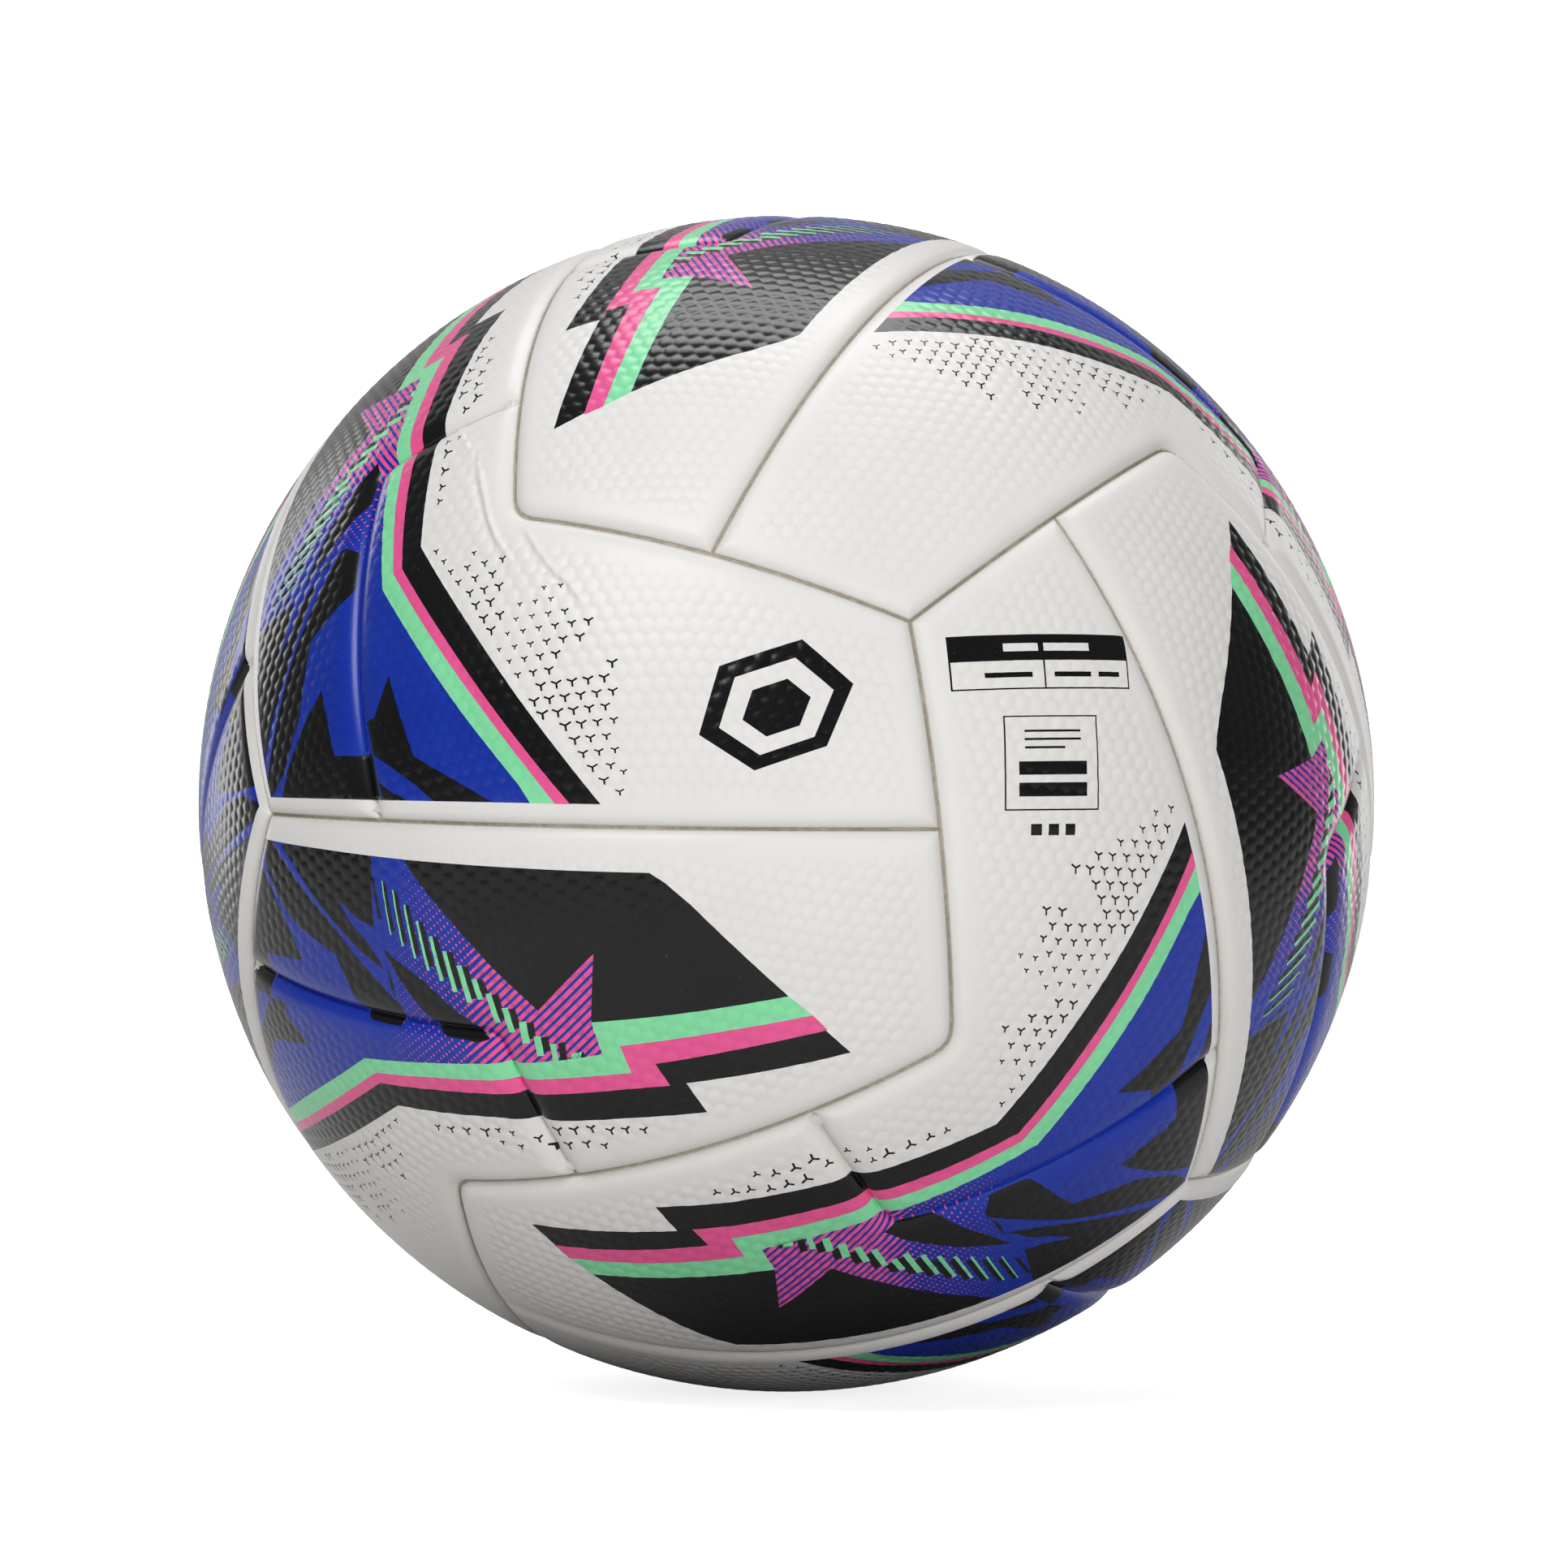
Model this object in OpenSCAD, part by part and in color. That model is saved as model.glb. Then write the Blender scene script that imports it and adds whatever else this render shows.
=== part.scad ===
// Soccer ball with 12 moulded cover panels glued on a round carcass.
//
// The seam pattern has the rotation symmetry of a tetrahedron, so one panel
// outline is enough, used twelve times. A pressed groove that looks like a
// seam divides each panel in two fields. All seams and grooves are arcs of
// great circles. The origin is the centre of the ball, the needle valve
// points along +Y, and +Z is up.

/* [Ball] */
// Outside diameter (650 mm girth, size 4)
ball_d = 207; // [192:1:223]

/* [Layers] */
// Thickness of the moulded skin of a cover panel
skin_t = 1.0; // [0.6:0.1:1.4]
// Thickness of the foam pad under the skin
foam_t = 3.6; // [2.4:0.1:4.6]
// Thickness of the rubber layer of the carcass
rubber_t = 0.9; // [0.6:0.1:1.5]
// Thickness of the wound fabric layer of the carcass
fabric_t = 1.0; // [0.6:0.1:1.5]
// Wall thickness of the bladder
bladder_t = 0.8; // [0.5:0.1:1.4]

/* [Seams] */
// Width of the gap between two neighbouring panels
seam_gap = 0.8; // [0.6:0.1:1.6]
// Depth from the ball surface down to the glue line in a seam
groove_depth = 1.6; // [0.8:0.1:2.2]
// Thickness of the skin where it wraps down the side of a foam pad
edge_wall = 1.0; // [0.6:0.1:1.6]
// Length of the rounding on each side of an elbow corner
elbow_round = 3.5; // [2:0.5:5]

/* [Pressed groove] */
// Width of the groove pressed into each panel
press_w = 1.8; // [1:0.1:2.4]
// Depth of that groove
press_depth = 2.0; // [0.8:0.1:2.4]
// Thickness of the skin under and beside the groove
press_wall = 0.8; // [0.5:0.1:1]

/* [Seam layout] */
// Angle from the middle of the long straight seam to its elbow corner
elbow_angle = 26.4; // [25:0.1:28]
// Angle from the middle of that seam to the start of the pressed groove
fork_angle = 12.1; // [11:0.1:13.5]
// Sideways angle of the corner of the pressed groove
notch_side = 16.2; // [15:0.1:17.5]
// Lengthwise angle of the corner of the pressed groove
notch_along = 13.0; // [12.2:0.1:13.8]
// Angle from a pole corner along the elbow seam to the T junction
tee_angle = 19.1; // [18:0.1:20.5]
// Angle from that T junction along the cross seam to the next junction
cross_angle = 54.7; // [53.5:0.1:56]

/* [Orientation] */
// Turn of the seam pattern about X
pattern_roll = -64.65; // [-66:0.05:-63]
// Turn of the seam pattern about Y
pattern_pitch = -52.08; // [-54:0.02:-50]
// Turn of the seam pattern about Z
pattern_yaw = -131.69; // [-133:0.01:-130]

/* [Valve] */
// Diameter of the needle passage at rest
needle_d = 1.9; // [1.5:0.1:2.2]
// Diameter of the entry funnel of the needle passage
funnel_d = 3.4; // [2.8:0.1:4]
// Diameter of the valve core plug
core_d = 5.0; // [4.4:0.1:5.6]
// Diameter of the head of the valve core plug
core_head_d = 7.4; // [6.4:0.1:8]
// Length of the valve core plug
core_l = 15; // [12:0.5:18]
// Diameter of the valve housing neck
neck_d = 12; // [10.6:0.2:13]
// Diameter of the flange that bonds the housing to the bladder
flange_d = 30; // [24:1:36]
// Diameter of the reinforcing patch
patch_d = 44; // [38:1:52]
// How far the valve face sits below the ball surface
valve_recess = 0.5; // [0.2:0.1:1]

/* [Hidden] */

$fn = 160;
rod_fn = 64;
overcut = 1; // how far a cut runs past the surface it opens

// radii of the layer boundaries, from the outside in
r_ball = ball_d / 2;
r_foam = r_ball - skin_t;
r_rubber = r_foam - foam_t;
r_fabric = r_rubber - rubber_t;
r_bladder = r_fabric - fabric_t;
r_air = r_bladder - bladder_t;
r_patch = r_air - 1.0;      // inside of the patch
r_flange = r_patch - 1.2;   // inside of the housing flange
r_glue = r_ball - groove_depth;

// angular insets from the seam lines, from lengths on the ball surface
function surface_angle(length) = atan(length / r_ball);
bead_gap = 0.03; // between the glue beads of two neighbouring panels
skin_inset = surface_angle(seam_gap / 2);
foam_inset = surface_angle(seam_gap / 2 + edge_wall);
bead_inset = surface_angle(bead_gap / 2);
corner_angle = surface_angle(elbow_round);

// valve, with distances from the centre along +Y
valve_panel = 1; // index of the panel that lies on the valve axis
valve_face = r_ball - valve_recess;
core_seat = valve_face - core_l;
seat_floor = 3;          // housing below the core
passage_d = needle_d + 0.6; // needle passage through that floor
head_t = 1.4;
funnel_depth = 1;
core_drop = 0.01;        // from the housing face down to the core face
fit_gap = 0.2;
neck_hole_d = neck_d + 2 * fit_gap;

// ---- points on the unit sphere --------------------------------------

function unit(v) = v / norm(v);

function sum_of(points, i = 0) =
    i == len(points) ? [0, 0, 0] : points[i] + sum_of(points, i + 1);

// point at an angle along the great circle from start towards target
function along(start, target, angle) =
    start * cos(angle) + unit(target - (start * target) * start) * sin(angle);

// The twelve rotations of the tetrahedron, numbered by copy: copy / 4 counts
// the cyclic axis swaps, and copy % 4 is the half turn that follows them
// (0 = none, 1 = about X, 2 = about Y, 3 = about Z).
function cycled(point, count) = [for (axis = [0:2]) point[(axis + count) % 3]];
function signs(half) = [for (axis = [0:2]) half == 0 || axis == half - 1 ? 1 : -1];
function turned(point, copy) =
    let (cycle = cycled(point, floor(copy / 4)), sign = signs(copy % 4))
    [for (axis = [0:2]) cycle[axis] * sign[axis]];

half_turn_y = 2;
two_cycles = 8;

// The long straight seam crosses +Y, and the panel lies on its -X side.
pole = unit([1, 1, 1]);
far_pole = unit([1, 1, -1]);
elbow = [0, cos(elbow_angle), sin(elbow_angle)];
low_elbow = turned(elbow, half_turn_y);
fork = [0, cos(fork_angle), sin(fork_angle)];
notch = [
    -cos(notch_along) * sin(notch_side),
    cos(notch_along) * cos(notch_side),
    sin(notch_along)
];
tee = along(pole, elbow, tee_angle);
low_tee = turned(tee, half_turn_y);
cross_end = along(tee, far_pole, cross_angle);

// points of a rounded corner, starting and ending at corner_angle from it
function rounded(before, corner, after) =
    let (start = along(corner, before, corner_angle),
         end = along(corner, after, corner_angle))
    [for (t = [0:0.25:1])
        unit((1 - t) * (1 - t) * start + 2 * t * (1 - t) * corner + t * t * end)];

// outline of the panel, counter-clockwise seen from outside
outline = concat(
    [pole],
    rounded(pole, elbow, low_elbow),
    rounded(elbow, low_elbow, low_tee),
    [low_tee, turned(far_pole, two_cycles), turned(tee, two_cycles)]
);

// path of the pressed groove
groove = [fork, notch, turned(cross_end, two_cycles)];

// outline moved inwards by an angle on every side
function inset(path, angle) =
    let (count = len(path))
    [for (i = [0:count - 1])
        let (point = path[i],
             before = path[(i + count - 1) % count],
             after = path[(i + 1) % count],
             normal_in = unit(cross(before, point)),
             normal_out = unit(cross(point, after)))
        unit(point + tan(angle) * (normal_in + normal_out) / (1 + normal_in * normal_out))];

// ---- building blocks -------------------------------------------------

// solid sector under an outline, with sides that point at the centre and
// flat ends square to its middle direction
module wedge(path, angle) {
    corners = inset(path, angle);
    count = len(corners);
    middle = unit(sum_of(corners));
    outer_reach = r_ball + 5;
    inner_reach = 0.25 * r_ball;
    polyhedron(
        points = [
            for (reach = [outer_reach, inner_reach])
                for (corner = corners) corner * reach / (corner * middle)
        ],
        faces = concat(
            [[for (i = [count - 1:-1:0]) i]],
            [[for (i = [count:2 * count - 1]) i]],
            [for (i = [0:count - 1])
                [i, (i + 1) % count, (i + 1) % count + count, i + count]]
        )
    );
}

// sector over a narrow band on both sides of the groove path, down to r_in
module band(half_width, r_in) {
    offset_size = half_width / r_ball;
    difference() {
        union() for (i = [0:1]) {
            start = groove[i];
            end = groove[i + 1];
            side = unit(cross(start, end)) * offset_size;
            ahead = unit(end - start) * offset_size;
            wedge([
                start - ahead - side,
                end + ahead - side,
                end + ahead + side,
                start - ahead + side
            ], 0);
        }
        sphere(r = r_in);
    }
}

module shell(r_in, r_out) {
    difference() {
        sphere(r = r_out);
        sphere(r = r_in);
    }
}

// moves a panel to its copy, and turns the whole pattern on the ball
module place(copy) {
    half = copy % 4;
    half_axis = [[0, 0, 1], [1, 0, 0], [0, 1, 0], [0, 0, 1]][half];
    rotate([pattern_roll, pattern_pitch, pattern_yaw])
        rotate(half == 0 ? 0 : 180, half_axis)
            rotate(-120 * floor(copy / 4), [1, 1, 1])
                children();
}

// cylinder along the valve axis, between two distances from the centre
module valve_rod(d, y_in, y_out) {
    translate([0, y_in, 0])
        rotate([-90, 0, 0])
            cylinder(d = d, h = y_out - y_in, $fn = rod_fn);
}

// rod that cuts through every layer at the valve
module valve_cut(d) {
    valve_rod(d, r_air - 20, r_ball + 2);
}

// round piece of a shell, centred on the valve axis
module valve_disc(d, r_in, r_out) {
    intersection() {
        shell(r_in, r_out);
        valve_rod(d, r_air - 10, r_air + 5);
    }
}

// foam under the skin, with a channel for the trough of the pressed groove
module foam_body(r_in) {
    difference() {
        intersection() {
            shell(r_in, r_foam);
            wedge(outline, foam_inset);
        }
        band(press_w / 2 + press_wall, r_ball - press_depth - press_wall);
    }
}

// skin of a panel: a curved plate with a rim that wraps the foam pad, and a
// trough where the groove is pressed
module skin_body() {
    difference() {
        intersection() {
            shell(r_rubber, r_ball);
            wedge(outline, skin_inset);
        }
        foam_body(r_rubber - overcut);
        band(press_w / 2, r_ball - press_depth);
    }
}

// ---- sub-parts -------------------------------------------------------

module cover_panel(i) {
    color(i % 2 == 0 ? "#efece7" : "#e4e1dd") difference() {
        place(i) skin_body();
        if (i == valve_panel) valve_cut(neck_hole_d);
    }
}

module foam_pad(i) {
    color("#f2eedd") difference() {
        place(i) foam_body(r_rubber);
        if (i == valve_panel) valve_cut(neck_hole_d);
    }
}

// bead of glue along the edge of every panel, which fills the seams up to
// the bottom of the groove between two panels
module seam_adhesive() {
    color("#cfc6b4") for (i = [0:11]) place(i) difference() {
        intersection() {
            shell(r_rubber, r_glue);
            wedge(outline, bead_inset);
        }
        wedge(outline, skin_inset);
    }
}

module carcass_rubber() {
    color("#3c3a38") difference() {
        shell(r_fabric, r_rubber);
        valve_cut(neck_hole_d);
    }
}

module carcass_fabric() {
    color("#d9d3c4") difference() {
        shell(r_bladder, r_fabric);
        valve_cut(neck_hole_d);
    }
}

module bladder() {
    color("#2a2a2c") difference() {
        shell(r_air, r_bladder);
        valve_cut(neck_d);
    }
}

// ring that stiffens the bladder around the valve
module valve_patch() {
    color("#353538") difference() {
        valve_disc(patch_d, r_patch, r_air);
        valve_cut(neck_d);
    }
}

// moulded rubber neck with a bonded flange and a pocket for the core
module valve_housing() {
    bottom = core_seat - seat_floor;
    color("#4a4a4c") difference() {
        union() {
            valve_rod(neck_d, bottom, valve_face);
            valve_disc(flange_d, r_flange, r_patch);
        }
        valve_rod(core_d, core_seat, valve_face + overcut);
        valve_rod(core_head_d, valve_face - head_t, valve_face + overcut);
        valve_rod(passage_d, bottom - overcut, core_seat + overcut);
    }
}

// soft plug that closes around the inflation needle
module valve_core() {
    color("#1c1c1e") difference() {
        union() {
            valve_rod(core_d, core_seat, valve_face - core_drop);
            valve_rod(core_head_d, valve_face - head_t, valve_face - core_drop);
        }
        valve_rod(needle_d, core_seat - overcut, valve_face + overcut);
        translate([0, valve_face - funnel_depth, 0])
            rotate([-90, 0, 0])
                cylinder(d1 = needle_d, d2 = funnel_d, h = funnel_depth, $fn = rod_fn);
    }
}

cover_panel(0);  // cover_panel_01
cover_panel(1);  // cover_panel_02
cover_panel(2);  // cover_panel_03
cover_panel(3);  // cover_panel_04
cover_panel(4);  // cover_panel_05
cover_panel(5);  // cover_panel_06
cover_panel(6);  // cover_panel_07
cover_panel(7);  // cover_panel_08
cover_panel(8);  // cover_panel_09
cover_panel(9);  // cover_panel_10
cover_panel(10);  // cover_panel_11
cover_panel(11);  // cover_panel_12
foam_pad(0);  // foam_pad_01
foam_pad(1);  // foam_pad_02
foam_pad(2);  // foam_pad_03
foam_pad(3);  // foam_pad_04
foam_pad(4);  // foam_pad_05
foam_pad(5);  // foam_pad_06
foam_pad(6);  // foam_pad_07
foam_pad(7);  // foam_pad_08
foam_pad(8);  // foam_pad_09
foam_pad(9);  // foam_pad_10
foam_pad(10);  // foam_pad_11
foam_pad(11);  // foam_pad_12
seam_adhesive();
carcass_rubber();
carcass_fabric();
bladder();
valve_patch();
valve_housing();
valve_core();
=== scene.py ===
"""A football of twelve equal panels, centred on the origin, seen from -Y with Z up.

Every panel is built once in the frame of the seam pattern, in millimetres, then turned
to its place and scaled to metres. The valve lies on the +Y axis, at the back.
"""
import math
import bpy
import numpy as np
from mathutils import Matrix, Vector
from mathutils.geometry import delaunay_2d_cdt


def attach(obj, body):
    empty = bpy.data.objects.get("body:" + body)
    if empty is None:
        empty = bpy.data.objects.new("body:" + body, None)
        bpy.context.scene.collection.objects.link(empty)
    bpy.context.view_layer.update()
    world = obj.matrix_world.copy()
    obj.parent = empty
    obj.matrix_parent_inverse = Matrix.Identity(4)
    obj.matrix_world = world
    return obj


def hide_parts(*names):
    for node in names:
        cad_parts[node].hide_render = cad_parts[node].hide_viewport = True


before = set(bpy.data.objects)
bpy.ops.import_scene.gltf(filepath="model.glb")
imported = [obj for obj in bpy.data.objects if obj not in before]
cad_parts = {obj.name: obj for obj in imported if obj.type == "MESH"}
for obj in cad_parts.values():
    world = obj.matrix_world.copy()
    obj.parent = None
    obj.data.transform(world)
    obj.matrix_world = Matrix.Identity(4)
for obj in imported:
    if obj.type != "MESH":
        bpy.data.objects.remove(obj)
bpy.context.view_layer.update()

# ---------------------------------------------------------------------------
# measures, in millimetres
# ---------------------------------------------------------------------------
MM = 0.001               # metres in a millimetre
BALL_R = 103.5           # outside of the ball
FOAM_R = 102.5           # outside of the foam
RUBBER_R = 98.9          # outside of the carcass
GLUE_R = 101.9           # top of the glue in the seams
HALF_GAP = 0.4           # half the seam gap
LIP = 0.22               # how close the rolled lip of the skin comes to the seam line
EDGE_W = 3.5             # width of the rounded shoulder at a seam
EDGE_D = 1.6             # depth of the shoulder at a seam
PRESS_W = 4.9            # width of one side of the pressed groove
PRESS_D = 2.0            # depth of the pressed groove
PRESS_FLAT = 0.16        # half width of its flat bottom
PRESS_INNER = 1.8        # depth of the groove on the inner skin
SINK = 0.10              # how far the skin sinks at a seam
SINK_REACH = 7.0         # distance over which that sinking dies away
DOME = 2.85              # pitch of the embossed domes
DOME_H = 0.155           # height of the domes
DOME_DEG = 27.0          # direction of the rows of domes
SEAM_FADE = (2.4, 7.5)   # the domes grow to full height between these distances from a seam
PRESS_FADE = (1.6, 4.6)  # and between these distances from the pressed groove
CLEAR = 0.01             # play between touching surfaces
GRID = DOME / 4
PANEL_REACH = 115        # radius that holds a whole panel laid flat
INNER_GRID = 6.0         # point spacing on the inner skin
RIM_STEP = (1.32, 1.36, 1.40)       # foot, middle and top of the step in the inner skin
PRESS_STEP = (1.62, 1.66, 1.70)     # the same beside the pressed groove

VALVE_PANEL = 1          # panel with the valve hole
LABEL_PANEL = 0          # panel with the information boxes
CREASED_PANEL = 4        # panel with the creases and the badge
HOLE_R = 6.2             # valve hole in the cover
HOLE_ROUND = 7.4         # outer radius of the hole's rounded edge
HOLE_DEPTH = 0.7         # depth of that edge
HOLE_ZONE = 8.0          # the mesh is rings, not lattice, out to this radius

# turns the pattern's frame to the world
TO_WORLD = np.array([[-0.40871188, -0.15441899, 0.89950507],
                     [-0.45888453, -0.81717223, -0.3487901],
                     [0.78891038, -0.55532362, 0.26312751]])


# ---------------------------------------------------------------------------
# seam pattern
# ---------------------------------------------------------------------------
def unit(vectors):
    vectors = np.asarray(vectors, float)
    return vectors / np.linalg.norm(vectors, axis=-1, keepdims=True)


def along(start, toward, deg):
    """start moved by an angle over the sphere toward another direction"""
    angle = math.radians(deg)
    return start * math.cos(angle) + unit(toward - (start @ toward) * start) * math.sin(angle)


def panel_turn(i):
    """one of the twelve rotations that keep a tetrahedron"""
    shift, kind = i // 4, i % 4
    signs = [(1, 1, 1), (1, -1, -1), (-1, 1, -1), (-1, -1, 1)][kind]
    matrix = np.zeros((3, 3))
    for row in range(3):
        matrix[row, (shift + row) % 3] = signs[row]
    return matrix


def cosd(deg):
    return math.cos(math.radians(deg))


def sind(deg):
    return math.sin(math.radians(deg))


def rounded(before, corner, after, mm):
    """corner of a path, rounded over mm on both sides"""
    deg = math.degrees(math.atan(mm / BALL_R))
    start, end = along(corner, before, deg), along(corner, after, deg)
    return [unit((1 - t) ** 2 * start + 2 * t * (1 - t) * corner + t * t * end)
            for t in (0, .25, .5, .75, 1)]


TURN = [panel_turn(i) for i in range(12)]
POLE = unit([1, 1, 1])
FAR = unit([1, 1, -1])
ELBOW = np.array([0, cosd(26.4), sind(26.4)])
FORK = np.array([0, cosd(12.1), sind(12.1)])
NOTCH = np.array([-cosd(13) * sind(16.2), cosd(13) * cosd(16.2), sind(13)])
TEE = along(POLE, ELBOW, 19.1)
CROSS = along(TEE, FAR, 54.7)
LOW = TURN[2] @ ELBOW

# outline of a panel, and the pressed groove that crosses it
OUTLINE = np.array([POLE] + rounded(POLE, ELBOW, LOW, 3.5)
                   + rounded(ELBOW, LOW, TURN[2] @ TEE, 3.5)
                   + [TURN[2] @ TEE, TURN[8] @ FAR, TURN[8] @ TEE])
GROOVE = np.array([FORK] + rounded(FORK, NOTCH, TURN[8] @ CROSS, 2.6) + [TURN[8] @ CROSS])

# chart of the panel: its middle, and the directions right and up on the first panel
MIDDLE = unit([0.18942313780704387, 0.9570853278671689, 0.2193320543028929])
RIGHT = unit([-0.042583461730127316, -0.215158543478538, 0.9756502703096396])
UP = np.cross(MIDDLE, RIGHT)


def to_mm(dirs):
    """unit vectors to flat coordinates, distance and direction from the middle kept"""
    dirs = np.atleast_2d(dirs)
    angle = np.arccos(np.clip(dirs @ MIDDLE, -1, 1))
    scale = np.where(angle > 1e-9, angle / np.maximum(np.sin(angle), 1e-12), 1.0) * BALL_R
    return np.stack([(dirs @ RIGHT) * scale, (dirs @ UP) * scale], -1)


def from_mm(flat):
    """flat coordinates back to unit vectors"""
    flat = np.atleast_2d(flat)
    away = np.linalg.norm(flat, axis=-1)
    angle = away / BALL_R
    scale = np.where(away > 1e-9, np.sin(angle) / np.maximum(away, 1e-12), 1 / BALL_R)
    return (MIDDLE * np.cos(angle)[:, None] + RIGHT * (flat[:, :1] * scale[:, None])
            + UP * (flat[:, 1:] * scale[:, None]))


# ---------------------------------------------------------------------------
# paths on the sphere
# ---------------------------------------------------------------------------
def angle_from(dirs, centre):
    return np.arccos(np.clip(dirs @ centre, -1, 1))


def inset(loop, mm):
    """closed outline moved inwards on every side"""
    before, after = np.roll(loop, 1, 0), np.roll(loop, -1, 0)
    side1, side2 = unit(np.cross(before, loop)), unit(np.cross(loop, after))
    bend = 1 + (side1 * side2).sum(-1, keepdims=True)
    return unit(loop + math.tan(mm / BALL_R) * (side1 + side2) / bend)


def dist(dirs, path, closed):
    """distance in millimetres over the sphere from unit vectors to a path"""
    best = np.full(len(dirs), 1e9)
    count = len(path)
    for i in range(count if closed else count - 1):
        start, end = path[i], path[(i + 1) % count]
        normal = unit(np.cross(start, end))
        height = dirs @ normal
        beside = (np.cross(normal, start) @ dirs.T > 0) & (np.cross(end, normal) @ dirs.T > 0)
        to_end = np.minimum(angle_from(dirs, start), angle_from(dirs, end))
        to_side = np.abs(np.arcsin(np.clip(height, -1, 1)))
        best = np.minimum(best, np.where(beside, to_side, to_end))
    return best * BALL_R


def seam_dist(dirs):
    return dist(dirs, OUTLINE, True)


def groove_dist(dirs):
    return dist(dirs, GROOVE, False)


def fractions(start, end, step):
    """column of even fractions from start to end, no more than step millimetres apart"""
    length = math.acos(min(1, max(-1, float(start @ end)))) * BALL_R
    count = max(1, int(math.ceil(length / step)))
    return np.arange(count)[:, None] / count


def between(start, end, t):
    return unit(start * (1 - t) + end * t)


def split(path, step, closed=True):
    """points along a path of unit vectors, no more than step millimetres apart"""
    out = []
    count = len(path)
    for i in range(count if closed else count - 1):
        start, end = path[i], path[(i + 1) % count]
        out.append(between(start, end, fractions(start, end, step)))
    if not closed:
        out.append(path[-1:])
    return np.concatenate(out)


def split_pair(first, second, step):
    """two matching closed paths divided at the same places"""
    out1, out2 = [], []
    for i in range(len(first)):
        j = (i + 1) % len(first)
        t = fractions(first[i], first[j], step)
        out1.append(between(first[i], first[j], t))
        out2.append(between(second[i], second[j], t))
    return np.concatenate(out1), np.concatenate(out2)


def side_normals(path):
    """unit vectors across an open path, lying in the surface"""
    return unit(np.cross(path, unit(np.gradient(path, axis=0))))


def inside(points, poly):
    """which flat points are inside a flat polygon"""
    x, y = points[:, 0], points[:, 1]
    result = np.zeros(len(points), bool)
    for (x1, y1), (x2, y2) in zip(poly, np.roll(poly, -1, 0)):
        if y1 == y2:
            continue
        spans = (y1 > y) != (y2 > y)
        result ^= spans & (x < (x2 - x1) * (y - y1) / (y2 - y1) + x1)
    return result


# ---------------------------------------------------------------------------
# the print: areas of ink on a square sheet laid flat against the panel's middle.
# x runs right and y down, both from 0 to SHEET_STEPS; the sheet is 2.6 ball radii wide.
# ---------------------------------------------------------------------------
SHEET_STEPS = 2399
SHEET_HALF = 1.3
SHEET_W = 2 * SHEET_HALF


def sheet(points, shift=(0, 0)):
    """sheet coordinates to unit vectors"""
    points = np.atleast_2d(np.asarray(points, float)) + list(shift)
    across = points[:, 0] / SHEET_STEPS * SHEET_W - SHEET_HALF
    height = SHEET_HALF - points[:, 1] / SHEET_STEPS * SHEET_W
    return unit(MIDDLE + across[:, None] * RIGHT + height[:, None] * UP)


def to_sheet(direction):
    depth = direction @ MIDDLE
    return (((direction @ RIGHT) / depth + SHEET_HALF) / SHEET_W * SHEET_STEPS,
            (SHEET_HALF - (direction @ UP) / depth) / SHEET_W * SHEET_STEPS)


# outlines as (x, y) on the sheet
BLACK = [
    (604, 1502), (680, 1510), (770, 1520), (901, 1535), (891, 1474), (950, 1483), (1015, 1493),
    (1080, 1500), (1150, 1508), (1200, 1515), (1250, 1523), (1350, 1532), (1453, 1541),
    (1625, 1456), (1800, 1373), (2073, 1241), (2046, 1402), (2010, 1613), (1986, 1757),
    (1953, 1950), (1931, 2080), (1907, 2222), (1600, 2155), (1370, 2102), (1180, 2061),
    (985, 2019), (803, 1981), (780, 1950), (750, 1890), (700, 1762), (656, 1649)]
PINK_TOP = [
    (621, 1560), (700, 1567), (800, 1574), (936, 1582), (928, 1537), (1000, 1546), (1100, 1554),
    (1160, 1559), (1250, 1568), (1350, 1577), (1483, 1585), (1650, 1503), (1800, 1432),
    (1950, 1360), (2064, 1304)]
PINK_LOW = [
    (2058, 1336), (1950, 1384), (1800, 1454), (1600, 1551), (1487, 1606), (1350, 1602),
    (1250, 1594), (1150, 1587), (1050, 1580), (981, 1574), (981, 1627), (800, 1614), (632, 1598)]
# the blue field shares the first BLUE_SHARED points of the mint stripe's lower edge
BLUE_SHARED = 11
GREEN_LOW = [
    (2048, 1389), (2000, 1404), (1900, 1450), (1800, 1498), (1600, 1591), (1510, 1635),
    (1350, 1631), (1250, 1626), (1170, 1620), (1090, 1617), (1016, 1617), (1014, 1680),
    (850, 1665), (656, 1649)]
# blue field with the hatched arrow at its left end
BLUE = GREEN_LOW[:BLUE_SHARED][::-1] + [
    (2034, 1473), (1907, 2222), (1600, 2155), (1433, 2117), (1340, 2096), (1300, 2024),
    (1225, 1908), (1165, 1812), (1101, 1717), (1000, 1793), (967, 1815), (1001, 1718),
    (1014, 1680)]
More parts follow.
